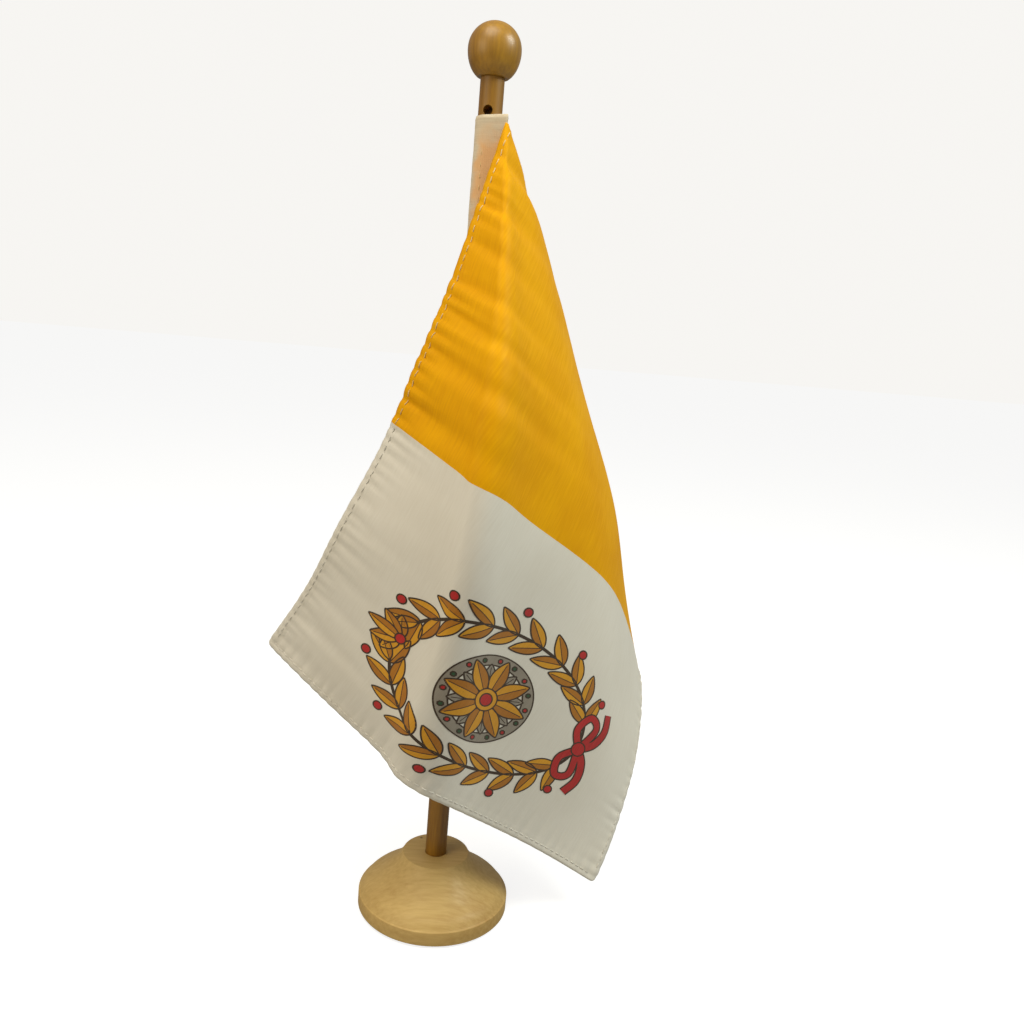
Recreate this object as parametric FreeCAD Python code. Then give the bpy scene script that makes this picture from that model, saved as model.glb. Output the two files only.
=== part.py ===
"""Desk flag stand: turned wooden base, round pole with a ball, and a square satin flag hung from a sleeve.

Millimetres, +Z up. The origin is where the pole's axis meets the table, and +X runs to the right of
somebody who looks at the stand along +Y.
"""
import FreeCAD, Part
import math
import os

# ---- driving sizes -------------------------------------------------------------------------------
BASE_RADIUS = 35.6          # turned foot, at its rim
RIM_HEIGHT = 8.1            # straight band round the foot
BASE_HEIGHT = 27.4          # up to the flat disc that the pole stands in
DISC_RADIUS = 15.7
FELT_THICKNESS = 1.2
FELT_RADIUS = 32.0
EDGE_ROUND = 0.4            # broken edges of the foot
# The hollow neck and the swelling shoulder: how far out from the disc's edge, how far below the disc.
NECK = [(1.9, 3.3), (5.8, 7.5)]
# And how far in from the rim, how far above it.
SHOULDER = [(8.6, 7.2), (3.4, 3.6)]
BORE_DEPTH = 19.0           # blind bore for the pole's foot
RUNNING_CLEARANCE = 0.05    # between the pole and its bore, measured on the radius

POLE_RADIUS = 5.0
POLE_CHAMFER = 0.6
BALL_RADIUS = 11.0
BALL_CENTRE = 385.9         # height of the ball's centre
BALL_SEAT = 375.3           # the ball's flat underside
BALL_BORE_DEPTH = 11.0
BALL_CHEEKS = [(1.5, 0.0), (3.7, 2.3)]   # underside: out from the pole, up from the flat underside
BALL_SHOULDER_INSET = 0.7   # the ball's side, this far inside its full radius
BALL_SHOULDER_RISE = 5.7    # and this far above the flat underside
CROSS_HOLE_RADIUS = 2.0
CROSS_HOLE_HEIGHT = 362.0
CROSS_HOLE_DEPTH = 7.5      # blind, measured from the pole's side
CROSS_HOLE_TURN = 257.0     # degrees about Z, the side that the hole shows on

FLAG_SIDE = 254.0           # the flag is cut square
FLAG_THICKNESS = 0.8
SLEEVE_TOP = 360.7
SLEEVE_CLEARANCE = 0.3      # the sleeve turns freely on the pole
TAPE_THICKNESS = 0.6
SEAM_TIP_RADIUS = 0.7       # the two tape layers closed round the flag's edge
HEM_WIDTH = 4.0
HEM_THICKNESS = 0.5
HEM_GAP = 0.35              # air between a hem and the cloth that it is turned in on
STITCH_PITCH = 5.0
STITCH_LENGTH = 3.0
STITCH_RADIUS = 0.22
STITCH_INSET = 0.8          # from the hem's inner edge to its stitches
SEAM_LINE_SHARE = 0.35      # where the sleeve's stitches run, between the pole's side and the tip
GOLD_START = 3.0 * SEAM_TIP_RADIUS       # the cloth begins just clear of the sleeve's tip
HEM_START = 3.0 * HEM_WIDTH              # the hems begin clear of the gathered corner

# ---- how the flag hangs --------------------------------------------------------------------------
# Every thread of the flag hangs from the top corner at the hoist. SEAM is that corner. FOLD is the
# line that the cloth draws on a floor one unit below it: away to the back right, round the fold, in
# front of the pole, and out to the left.
SEAM = (6.8, -6.8, 358.5)
FOLD = [(0.0, 0.0), (0.22, 0.255), (0.37, 0.28), (0.275, 0.04), (0.07, -0.12),
        (-0.015, -0.20), (-0.08, -0.20), (-0.145, -0.12), (-0.39, 0.085)]
FOLD_STEPS = 24             # short pieces of the fold's curve from one point to the next
SAG = (9.5, -42.0, -4.5)    # how far the cloth bows out of its straight lines, half way down
SAG_SPAN = 256.0            # the bow swings back past this distance
SAG_TURN = 1.5              # and holds still from this many spans
SAG_START = 40.0            # degrees from the hoist at which the bow is full
FRONT_SAG_START = 25.0
FRONT_SAG_END = 75.0
CORNER_REACH = 25.0         # the cloth thins towards the gathered corner, over this distance
OUT_LINES = 29              # lines that shape the sheet, from hoist to fly
DOWN_LINES = 45             # and from the top edge to the bottom edge
LEAST_SPACE = 0.2           # from a patch's edge to its next line
NORMAL_STEP = 1.5           # distance over which the cloth's normal is measured


def smooth(value):
    """Smooth step from 0 to 1."""
    value = min(1.0, max(0.0, value))
    return value * value * (3.0 - 2.0 * value)


def curve_through(points, steps):
    """Catmull-Rom curve through the points, with steps short pieces from one to the next."""
    first = tuple(2.0 * a - b for a, b in zip(points[0], points[1]))
    last = tuple(2.0 * a - b for a, b in zip(points[-1], points[-2]))
    run = [first] + list(points) + [last]
    line = []
    for i in range(1, len(run) - 2):
        for step in range(steps):
            t = step / steps
            line.append(tuple(
                0.5 * (2.0 * b + (c - a) * t + (2.0 * a - 5.0 * b + 4.0 * c - d) * t * t
                       + (3.0 * b - a - 3.0 * c + d) * t ** 3)
                for a, b, c, d in zip(run[i - 1], run[i], run[i + 1], run[i + 2])))
    line.append(tuple(points[-1]))
    return line


def thread_directions():
    """Directions of the threads, with the angle that each one makes with the hoist along the cloth."""
    ways = [FreeCAD.Vector(x, y, -1.0).normalize() for x, y in curve_through(FOLD, FOLD_STEPS)]
    angles = [0.0]
    for before, after in zip(ways, ways[1:]):
        angles.append(angles[-1] + before.getAngle(after))
    quarter = math.pi / 2.0
    return [angle * quarter / angles[-1] for angle in angles], ways


ANGLES, WAYS = thread_directions()


def thread(angle):
    """Direction of the thread at an angle from the hoist, in radians."""
    for i in range(1, len(ANGLES)):
        if angle <= ANGLES[i] or i == len(ANGLES) - 1:
            share = (angle - ANGLES[i - 1]) / (ANGLES[i] - ANGLES[i - 1])
            return (WAYS[i - 1] + (WAYS[i] - WAYS[i - 1]) * share).normalize()
    return WAYS[-1]


def cloth(out, down):
    """Point of the flag, out from the hoist and down from the top edge along the cloth."""
    reach = math.hypot(out, down)
    angle = math.atan2(out, down)
    bow = math.sin(math.pi * min(reach / SAG_SPAN, SAG_TURN))
    side = smooth(angle / math.radians(SAG_START)) * bow
    front = smooth((math.degrees(angle) - FRONT_SAG_START) / (FRONT_SAG_END - FRONT_SAG_START)) * bow
    return (FreeCAD.Vector(*SEAM) + thread(angle) * reach
            + FreeCAD.Vector(SAG[0] * side, SAG[1] * front, SAG[2] * side))


def cloth_normal(out, down):
    """Unit normal of the cloth, towards the face that shows in front."""
    across = cloth(out + NORMAL_STEP, down) - cloth(max(out - NORMAL_STEP, 0.1), down)
    along = cloth(out, down + NORMAL_STEP) - cloth(out, max(down - NORMAL_STEP, 0.0))
    return across.cross(along).normalize()


def lifted(out, down, lift):
    """Point at a height above the middle of the cloth, less near the gathered corner."""
    share = min(1.0, math.hypot(out, down) / CORNER_REACH)
    return cloth(out, down) + cloth_normal(out, down) * (lift * share)


def lines_across(low, high, count):
    """Places from one edge of the flag to the other, close together at both edges, between two limits."""
    middle = FLAG_SIDE / 2.0
    places = [middle * (1.0 - math.cos(math.pi * i / (count - 1))) for i in range(count)]
    inner = [place for place in places if low + LEAST_SPACE < place < high - LEAST_SPACE]
    return [low] + inner + [high]


def knots_for(count, degree):
    """Multiplicities and knots of a clamped spline with that many poles."""
    inner = count - degree - 1
    return [degree + 1] + [1] * inner + [degree + 1], [float(i) for i in range(inner + 2)]


def smooth_surface(rows):
    """Spline surface over a net of points."""
    out_degree = min(3, len(rows) - 1)
    down_degree = min(3, len(rows[0]) - 1)
    out_mults, out_knots = knots_for(len(rows), out_degree)
    down_mults, down_knots = knots_for(len(rows[0]), down_degree)
    surface = Part.BSplineSurface()
    surface.buildFromPolesMultsKnots(
        rows, out_mults, down_mults, out_knots, down_knots, False, False, out_degree, down_degree)
    return surface


def cloth_sheet(outs, downs, low, high):
    """Closed thin solid over a patch of the flag, between two heights above its middle."""
    lower, upper = [[[lifted(out, down, lift) for down in downs] for out in outs] for lift in (low, high)]
    edges = [(lower[0], upper[0]), (lower[-1], upper[-1]),
             ([row[0] for row in lower], [row[0] for row in upper]),
             ([row[-1] for row in lower], [row[-1] for row in upper])]
    nets = [lower, upper] + [list(edge) for edge in edges]
    sewn = Part.makeShell([smooth_surface(net).toShape() for net in nets])
    sewn.sewShape()
    solid = Part.makeSolid(sewn.Shells[0] if sewn.Shells else sewn)
    if solid.Volume < 0.0:
        solid.reverse()
    return solid


def thread_piece(start, end):
    """One stitch, a short round thread."""
    return Part.makeCylinder(STITCH_RADIUS, (end - start).Length, start, end - start)


def turned(profile, straight):
    """Solid of revolution: a curve through the profile's points, closed by straight runs."""
    points = [FreeCAD.Vector(radius, 0.0, height) for radius, height in profile]
    curve = Part.BSplineCurve()
    curve.interpolate(points)
    runs = [FreeCAD.Vector(radius, 0.0, height) for radius, height in straight]
    corners = [points[-1]] + runs + [points[0]]
    edges = [curve.toShape()] + [Part.makeLine(a, b) for a, b in zip(corners, corners[1:])]
    face = Part.Face(Part.Wire(edges))
    return face.revolve(FreeCAD.Vector(0, 0, 0), FreeCAD.Vector(0, 0, 1), 360.0)


# ---- the base ------------------------------------------------------------------------------------
def make_base_body():
    """Turned foot: straight rim, swelling shoulder, hollow neck up to the flat disc, blind bore."""
    curve = [(DISC_RADIUS, BASE_HEIGHT - EDGE_ROUND)]
    curve += [(DISC_RADIUS + out, BASE_HEIGHT - fall) for out, fall in NECK]
    curve += [(BASE_RADIUS - inset, RIM_HEIGHT + rise) for inset, rise in SHOULDER]
    curve += [(BASE_RADIUS - EDGE_ROUND, RIM_HEIGHT)]
    straight = [
        (BASE_RADIUS, RIM_HEIGHT - EDGE_ROUND), (BASE_RADIUS, FELT_THICKNESS + EDGE_ROUND),
        (BASE_RADIUS - EDGE_ROUND, FELT_THICKNESS), (0.0, FELT_THICKNESS),
        (0.0, BASE_HEIGHT), (DISC_RADIUS - EDGE_ROUND, BASE_HEIGHT)]
    body = turned(curve, straight)
    floor = FreeCAD.Vector(0, 0, BASE_HEIGHT - BORE_DEPTH)
    bore = Part.makeCylinder(POLE_RADIUS + RUNNING_CLEARANCE, BORE_DEPTH, floor)
    return body.cut(bore)


def make_felt_pad():
    """Round felt under the foot, which it stands on."""
    return Part.makeCylinder(FELT_RADIUS, FELT_THICKNESS)


# ---- the pole ------------------------------------------------------------------------------------
def make_pole():
    """Round dowel from the bore's floor up into the ball, with a blind cross hole below the ball."""
    foot = BASE_HEIGHT - BORE_DEPTH
    top = BALL_SEAT + BALL_BORE_DEPTH
    dowel = Part.makeCylinder(POLE_RADIUS, top - foot, FreeCAD.Vector(0, 0, foot))
    ends = [edge for edge in dowel.Edges if isinstance(edge.Curve, Part.Circle)]
    dowel = dowel.makeChamfer(POLE_CHAMFER, ends)
    turn = math.radians(CROSS_HOLE_TURN)
    way = FreeCAD.Vector(math.cos(turn), math.sin(turn), 0.0)
    start = FreeCAD.Vector(0, 0, CROSS_HOLE_HEIGHT) + way * (2.0 * POLE_RADIUS)
    return dowel.cut(Part.makeCylinder(CROSS_HOLE_RADIUS, POLE_RADIUS + CROSS_HOLE_DEPTH, start, -way))


def make_ball_finial():
    """Ball with a fuller underside that tapers to the pole, bored to sit on the pole's end."""
    lower = [(POLE_RADIUS + out, BALL_SEAT + rise) for out, rise in BALL_CHEEKS]
    lower += [(BALL_RADIUS - BALL_SHOULDER_INSET, BALL_SEAT + BALL_SHOULDER_RISE)]
    lower += [(BALL_RADIUS, BALL_CENTRE)]
    turns = [math.radians(angle) for angle in (15.0, 30.0, 45.0, 60.0, 75.0, 90.0)]
    upper = [(BALL_RADIUS * math.cos(turn), BALL_CENTRE + BALL_RADIUS * math.sin(turn)) for turn in turns]
    body = turned(lower + upper, [(0.0, BALL_SEAT)])
    return body.cut(Part.makeCylinder(POLE_RADIUS, BALL_BORE_DEPTH, FreeCAD.Vector(0, 0, BALL_SEAT)))


# ---- the flag ------------------------------------------------------------------------------------
def sleeve_outline(radius, tip_radius):
    """Outline of the tape as seen from above: round the pole, and closed to a tip at the flag's edge."""
    tip = FreeCAD.Vector(SEAM[0], SEAM[1], 0.0)
    reach = tip.Length
    lean = math.atan2(tip.y, tip.x)
    spread_angle = math.acos((radius - tip_radius) / reach)

    def at(centre, size, angle):
        return centre + FreeCAD.Vector(math.cos(angle), math.sin(angle), 0.0) * size

    middle = FreeCAD.Vector(0, 0, 0)
    left, right = lean - spread_angle, lean + spread_angle
    back = Part.Arc(at(middle, radius, right), at(middle, radius, lean + math.pi),
                    at(middle, radius, left))
    nose = Part.Arc(at(tip, tip_radius, left), at(tip, tip_radius, lean), at(tip, tip_radius, right))
    sides = [Part.makeLine(at(middle, radius, left), at(tip, tip_radius, left)),
             Part.makeLine(at(tip, tip_radius, right), at(middle, radius, right))]
    return Part.Face(Part.Wire([back.toShape(), sides[0], nose.toShape(), sides[1]]))


def make_hoist_sleeve():
    """Tape sleeve down the flag's hoist, open at both ends, round the pole."""
    inner = POLE_RADIUS + SLEEVE_CLEARANCE
    bottom = SEAM[2] - FLAG_SIDE
    tape = sleeve_outline(inner + TAPE_THICKNESS, SEAM_TIP_RADIUS)
    tape.translate(FreeCAD.Vector(0, 0, bottom))
    height = SLEEVE_TOP - bottom
    hole = Part.makeCylinder(inner, height + 2.0, FreeCAD.Vector(0, 0, bottom - 1.0))
    return tape.extrude(FreeCAD.Vector(0, 0, height)).cut(hole)


def make_sleeve_stitching():
    """Line of stitches down the front of the sleeve, through both tape layers and the flag's edge."""
    tip = FreeCAD.Vector(SEAM[0], SEAM[1], 0.0)
    outer = POLE_RADIUS + SLEEVE_CLEARANCE + TAPE_THICKNESS
    lean = math.atan2(tip.y, tip.x)
    turn = lean - math.acos((outer - SEAM_TIP_RADIUS) / tip.Length)
    out = FreeCAD.Vector(math.cos(turn), math.sin(turn), 0.0)
    place = out * (outer + STITCH_RADIUS) * (1.0 - SEAM_LINE_SHARE)
    place = place + (tip + out * (SEAM_TIP_RADIUS + STITCH_RADIUS)) * SEAM_LINE_SHARE
    count = int((FLAG_SIDE - 4.0 * HEM_WIDTH) / STITCH_PITCH)
    pieces = []
    for i in range(count):
        height = SEAM[2] - HEM_START - i * STITCH_PITCH
        start = place + FreeCAD.Vector(0, 0, height)
        pieces.append(thread_piece(start, start - FreeCAD.Vector(0, 0, STITCH_LENGTH)))
    return Part.makeCompound(pieces)


def make_flag_half(out_low, out_high):
    """One colour of the flag, a thin sheet between two distances from the hoist."""
    half = FLAG_THICKNESS / 2.0
    outs = lines_across(out_low, out_high, OUT_LINES)
    return cloth_sheet(outs, lines_across(0.0, FLAG_SIDE, DOWN_LINES), -half, half)


def make_hem(edge, low_place, high_place):
    """Turned-in hem along part of one edge, lying on the face that shows in front."""
    low = FLAG_THICKNESS / 2.0 + HEM_GAP
    high = low + HEM_THICKNESS
    inset = FLAG_SIDE - HEM_WIDTH
    if edge == "top":
        return cloth_sheet(lines_across(low_place, high_place, OUT_LINES), [0.0, HEM_WIDTH], low, high)
    if edge == "bottom":
        return cloth_sheet(lines_across(low_place, high_place, OUT_LINES), [inset, FLAG_SIDE], low, high)
    return cloth_sheet([inset, FLAG_SIDE], lines_across(low_place, high_place, DOWN_LINES), low, high)


def make_hem_stitching(edge):
    """Stitches along a hem, lying on it near its inner edge."""
    lift = FLAG_THICKNESS / 2.0 + 2.0 * HEM_GAP + HEM_THICKNESS + STITCH_RADIUS
    inset = HEM_WIDTH - STITCH_INSET
    count = int((FLAG_SIDE - 3.0 * HEM_WIDTH) / STITCH_PITCH)
    pieces = []
    for i in range(count):
        low = 1.5 * HEM_WIDTH + i * STITCH_PITCH
        high = low + STITCH_LENGTH
        places = {"top": [(low, inset), (high, inset)],
                  "bottom": [(low, FLAG_SIDE - inset), (high, FLAG_SIDE - inset)],
                  "fly": [(FLAG_SIDE - inset, low), (FLAG_SIDE - inset, high)]}[edge]
        start, end = [lifted(out, down, lift) for out, down in places]
        pieces.append(thread_piece(start, end))
    return Part.makeCompound(pieces)


def main():
    """Make every piece and write it to its own file."""
    middle = FLAG_SIDE / 2.0
    pieces = {
        "base_body": make_base_body(),
        "felt_pad": make_felt_pad(),
        "pole": make_pole(),
        "ball_finial": make_ball_finial(),
        "hoist_sleeve": make_hoist_sleeve(),
        "sleeve_stitching": make_sleeve_stitching(),
        "flag_gold_half": make_flag_half(GOLD_START, middle),
        "flag_white_half": make_flag_half(middle, FLAG_SIDE),
    }
    for edge in ("top", "bottom"):
        pieces[edge + "_hem_gold"] = make_hem(edge, HEM_START, middle)
        pieces[edge + "_hem_white"] = make_hem(edge, middle, FLAG_SIDE - HEM_WIDTH - HEM_GAP)
    pieces["fly_hem"] = make_hem("fly", 0.0, FLAG_SIDE)
    for edge in ("top", "bottom", "fly"):
        pieces[edge + "_hem_stitching"] = make_hem_stitching(edge)
    os.makedirs("parts", exist_ok=True)
    for name, shape in pieces.items():
        if not shape.isValid():
            raise ValueError(name + " is not a valid solid")
        shape.exportStep("parts/" + name + ".step")
        box = shape.BoundBox
        print(f"{name:24s} {len(shape.Solids):3d} solids {shape.Volume / 1000.0:9.3f} cm3 "
              f"z {box.ZMin:7.1f} to {box.ZMax:7.1f}")


main()
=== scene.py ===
"""Desk flag stand, dressed: lacquered wood, a stitched tape sleeve and a hanging satin flag.

Everything is in metres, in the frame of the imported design: +Z up along the pole, origin on the table.
"""

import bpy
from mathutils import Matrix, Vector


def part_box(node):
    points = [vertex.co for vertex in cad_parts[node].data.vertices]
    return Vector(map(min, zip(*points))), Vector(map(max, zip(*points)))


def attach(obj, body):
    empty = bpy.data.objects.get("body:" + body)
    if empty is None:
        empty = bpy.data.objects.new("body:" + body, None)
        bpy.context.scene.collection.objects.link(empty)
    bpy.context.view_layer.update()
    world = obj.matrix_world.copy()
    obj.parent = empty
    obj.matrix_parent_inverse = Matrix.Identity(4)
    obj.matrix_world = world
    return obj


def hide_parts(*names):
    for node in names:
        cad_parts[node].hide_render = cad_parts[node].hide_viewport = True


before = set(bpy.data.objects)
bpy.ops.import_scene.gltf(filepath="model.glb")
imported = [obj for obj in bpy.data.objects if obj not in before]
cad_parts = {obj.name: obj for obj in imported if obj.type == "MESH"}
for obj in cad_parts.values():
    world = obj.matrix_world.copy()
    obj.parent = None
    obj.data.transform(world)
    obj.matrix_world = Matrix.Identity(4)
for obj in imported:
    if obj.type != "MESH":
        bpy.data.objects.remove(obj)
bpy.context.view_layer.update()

import logging
import math
from collections.abc import Sequence
from dataclasses import dataclass, field
from enum import Enum

import bmesh
import bpy
import numpy as np
from mathutils import Matrix, Vector, noise

LOG = logging.getLogger("desk_flag")
MM = 0.001
TURN = 2.0 * math.pi
Colour = tuple[float, float, float]
Point = tuple[float, float]
Material = bpy.types.Material
NodeTree = bpy.types.NodeTree
Piece = bpy.types.Object
Socket = bpy.types.NodeSocket


# ---- small helpers -------------------------------------------------------------------------------
def smooth(value: np.ndarray | float) -> np.ndarray | float:
    """Smooth step from 0 to 1."""
    value = np.clip(value, 0.0, 1.0)
    return value * value * (3.0 - 2.0 * value)


def ripple(place: float, lane: float = 0.0) -> float:
    """Smooth irregular value between about -1 and 1, the same in every run."""
    return noise.noise(Vector((place, lane, 0.37))) * 1.8


def ripples(places: np.ndarray, lane: float = 0.0) -> np.ndarray:
    """Ripple at each of many places along a line."""
    return np.array([ripple(float(place), lane) for place in places])


def curve_through(points: list[Point], steps: int) -> np.ndarray:
    """Catmull-Rom curve through points in the plane.

    Args:
        points: the points that the curve passes through.
        steps: short pieces from one point to the next.

    Returns:
        The points along the curve, one to a row.
    """
    given = np.array(points, dtype=float)
    run = np.vstack([2.0 * given[0] - given[1], given, 2.0 * given[-1] - given[-2]])
    share = np.linspace(0.0, 1.0, steps, endpoint=False)[:, None]
    spans = []
    for a, b, c, d in zip(run, run[1:], run[2:], run[3:]):
        spans.append(0.5 * (2.0 * b + (c - a) * share + (2.0 * a - 5.0 * b + 4.0 * c - d) * share ** 2
                            + (3.0 * b - a - 3.0 * c + d) * share ** 3))
    return np.vstack(spans + [given[-1:]])


class MeshDraft:
    """Points and faces gathered for one mesh, each face with its material and the points' UV places."""

    def __init__(self) -> None:
        """Start an empty draft."""
        self.points: list[tuple[float, float, float]] = []
        self.places: list[Point] = []
        self.faces: list[tuple[int, ...]] = []
        self.slots: list[int] = []

    def add_point(self, point: Sequence[float], place: Point = (0.0, 0.0)) -> int:
        """Add one point with its UV place, and return its number."""
        self.points.append((float(point[0]), float(point[1]), float(point[2])))
        self.places.append(place)
        return len(self.points) - 1

    def add_face(self, corners: tuple[int, ...], slot: int = 0) -> None:
        """Add one face with its material slot."""
        self.faces.append(corners)
        self.slots.append(slot)

    def add_net(self, rows: list[list[int]], closed: bool, slot: int = 0) -> None:
        """Add the quads between rows of points.

        Args:
            rows: numbers of the points, row by row, all of one length.
            closed: whether each row joins its own start.
            slot: the quads' material slot.
        """
        count = len(rows[0])
        for lower, upper in zip(rows, rows[1:]):
            for i in range(count if closed else count - 1):
                j = (i + 1) % count
                self.add_face((lower[i], lower[j], upper[j], upper[i]), slot)

    def build(self, name: str, materials: list[Material], solid: bool = True) -> Piece:
        """Make the object, smooth-shaded.

        Args:
            name: the piece's name.
            materials: its material slots, in order.
            solid: whether its faces close it, so that they can be turned to face outwards.

        Returns:
            The new object, linked to the scene.
        """
        mesh = bpy.data.meshes.new(name)
        mesh.from_pydata(self.points, [], self.faces)
        if solid:
            shell = bmesh.new()
            shell.from_mesh(mesh)
            bmesh.ops.recalc_face_normals(shell, faces=shell.faces)
            shell.to_mesh(mesh)
            shell.free()
        for material in materials:
            mesh.materials.append(material)
        mesh.polygons.foreach_set("material_index", self.slots)
        mesh.polygons.foreach_set("use_smooth", [True] * len(self.faces))
        layer = mesh.uv_layers.new(name="cloth")
        corners = np.zeros(len(mesh.loops), dtype=np.int32)
        mesh.loops.foreach_get("vertex_index", corners)
        layer.data.foreach_set("uv", np.array(self.places)[corners].ravel())
        mesh.update()
        piece = bpy.data.objects.new(name, mesh)
        bpy.context.scene.collection.objects.link(piece)
        return piece


def turned_piece(name: str, profile: list[Point], material: Material, spokes: int = 144) -> Piece:
    """Solid of revolution about Z.

    Args:
        name: the piece's name.
        profile: radius and height along the outline, from the axis round to the axis again.
        material: its material.
        spokes: points round the axis.

    Returns:
        The new object.
    """
    draft = MeshDraft()
    angles = [TURN * i / spokes for i in range(spokes)]
    first = draft.add_point((0.0, 0.0, profile[0][1]))
    rows = [[draft.add_point((radius * math.cos(a), radius * math.sin(a), height)) for a in angles]
            for radius, height in profile[1:-1]]
    last = draft.add_point((0.0, 0.0, profile[-1][1]))
    draft.add_net(rows, closed=True)
    for i in range(spokes):
        j = (i + 1) % spokes
        draft.add_face((first, rows[0][j], rows[0][i]))
        draft.add_face((last, rows[-1][i], rows[-1][j]))
    return draft.build(name, [material])


# ---- shader trees --------------------------------------------------------------------------------
class Tree:
    """A node tree with short calls to add nodes and join them."""

    def __init__(self, tree: NodeTree) -> None:
        """Wrap a tree."""
        self.tree = tree

    def add(self, kind: str, values: dict[str, object] | None = None, **settings: object) -> bpy.types.Node:
        """Add a node.

        Args:
            kind: the node's type, without its common first part.
            values: constants or sockets for its inputs, by name or by number.
            **settings: its own settings.

        Returns:
            The node.
        """
        node = self.tree.nodes.new("ShaderNode" + kind)
        for key, value in settings.items():
            setattr(node, key, value)
        self.fill(node, values or {})
        return node

    def fill(self, node: bpy.types.Node, values: dict[str, object]) -> None:
        """Set a node's inputs to constants, and join those that are given a socket."""
        for key, value in values.items():
            if isinstance(value, Socket):
                self.link(value, node.inputs[key])
            else:
                node.inputs[key].default_value = value

    def link(self, output: Socket, target: Socket) -> None:
        """Join an output to an input."""
        self.tree.links.new(output, target)

    def group(self, group: NodeTree, values: dict[str, object]) -> bpy.types.Node:
        """Place a node group with its own values."""
        node = self.tree.nodes.new("ShaderNodeGroup")
        node.node_tree = group
        self.fill(node, values)
        return node

    def blend(self, share: Socket, first: object, second: object) -> Socket:
        """Mix two colours by a mask."""
        node = self.add("Mix", {0: share, 6: first, 7: second}, data_type="RGBA")
        return node.outputs[2]

    def maths(self, how: str, first: object, second: object = 0.0) -> Socket:
        """One sum on two values."""
        return self.add("Math", {0: first, 1: second}, operation=how).outputs[0]

    def span(self, value: Socket, low: float, high: float, to_low: float,
             to_high: float) -> Socket:
        """Carry a range of values onto another range, held at both ends."""
        names = {"Value": value, "From Min": low, "From Max": high, "To Min": to_low, "To Max": to_high}
        return self.add("MapRange", names).outputs[0]


def new_group(name: str, inputs: dict[str, tuple[str, object]],
              outputs: dict[str, str]) -> tuple[Tree, bpy.types.Node, bpy.types.Node]:
    """Start a shader node group with named sockets.

    Args:
        name: the group's name.
        inputs: socket type and first value of each input.
        outputs: socket type of each output.

    Returns:
        The group's tree, its input node and its output node.
    """
    group = bpy.data.node_groups.new(name, "ShaderNodeTree")
    for key, (kind, value) in inputs.items():
        socket = group.interface.new_socket(name=key, in_out="INPUT", socket_type=kind)
        if value is not None:
            socket.default_value = value
    for key, kind in outputs.items():
        group.interface.new_socket(name=key, in_out="OUTPUT", socket_type=kind)
    return Tree(group), group.nodes.new("NodeGroupInput"), group.nodes.new("NodeGroupOutput")


def build_wood_grain() -> NodeTree:
    """Grain of turned wood: growth bands, fine fibres and broad cloudy patches.

    Returns:
        A group that puts out a Shade from 0 to 1, and a Height for fine pores.
    """
    tree, inside, outside = new_group(
        "turned_wood_grain",
        {"Place": ("NodeSocketVector", None), "Fibres": ("NodeSocketFloat", 900.0),
         "Bands": ("NodeSocketFloat", 12.0), "Clouds": ("NodeSocketFloat", 40.0)},
        {"Shade": "NodeSocketFloat", "Height": "NodeSocketFloat"})
    place = inside.outputs["Place"]
    fibre = tree.add("TexNoise", {"Vector": place, "Scale": inside.outputs["Fibres"], "Detail": 5.0,
                                  "Roughness": 0.62}).outputs[0]
    band = tree.add("TexWave", {"Vector": place, "Scale": inside.outputs["Bands"], "Distortion": 6.0,
                                "Detail": 3.0, "Detail Scale": 1.4}, bands_direction="X").outputs["Fac"]
    cloud = tree.add("TexNoise", {"Vector": place, "Scale": inside.outputs["Clouds"],
                                  "Detail": 3.0}).outputs[0]
    soft_band = tree.maths("MULTIPLY", tree.maths("POWER", band, 2.2), 0.30)
    soft_fibre = tree.maths("MULTIPLY", tree.span(fibre, 0.32, 0.68, 0.0, 1.0), 0.34)
    soft_cloud = tree.maths("MULTIPLY", tree.span(cloud, 0.35, 0.65, 0.0, 1.0), 0.36)
    shade = tree.maths("ADD", tree.maths("ADD", soft_band, soft_fibre), soft_cloud)
    tree.link(shade, outside.inputs["Shade"])
    tree.link(fibre, outside.inputs["Height"])
    return tree.tree


def build_woven_threads() -> NodeTree:
    """Weave of crossing threads.

    Returns:
        A group that puts out the threads' Height, and a Slub mask of uneven threads.
    """
    tree, inside, outside = new_group(
        "woven_threads",
        {"Place": ("NodeSocketVector", None), "Threads": ("NodeSocketFloat", 800.0)},
        {"Height": "NodeSocketFloat", "Slub": "NodeSocketFloat"})
    place = inside.outputs["Place"]
    count = inside.outputs["Threads"]
    warp = tree.add("TexWave", {"Vector": place, "Scale": count, "Distortion": 0.6}, bands_direction="X")
    weft = tree.add("TexWave", {"Vector": place, "Scale": count, "Distortion": 0.6}, bands_direction="Y")
    crossing = tree.maths("MAXIMUM", warp.outputs["Fac"], tree.maths("MULTIPLY", weft.outputs["Fac"], 0.8))
    drawn = tree.add("VectorMath", {0: place, 1: (90.0, 1400.0, 90.0)}, operation="MULTIPLY").outputs[0]
    slub = tree.add("TexNoise", {"Vector": drawn, "Scale": 1.0, "Detail": 2.0}).outputs[0]
    tree.link(crossing, outside.inputs["Height"])
    tree.link(slub, outside.inputs["Slub"])
    return tree.tree


class Grain(Enum):
    """Which way the wood's fibres run, as the stretch of the grain's pattern along X, Y and Z."""

    UP = (1.0, 1.0, 0.05)
    ACROSS = (0.09, 1.0, 0.75)


KNOT_PLACE = (-7.5 * MM, 11.0 * MM, 27.4 * MM)
KNOT_RADIUS = 0.9 * MM
KNOT_COLOUR = (0.05, 0.025, 0.01, 1.0)
PORE_DEPTH = 0.2 * MM
WEAVE_HEIGHT = 0.1 * MM


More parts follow.
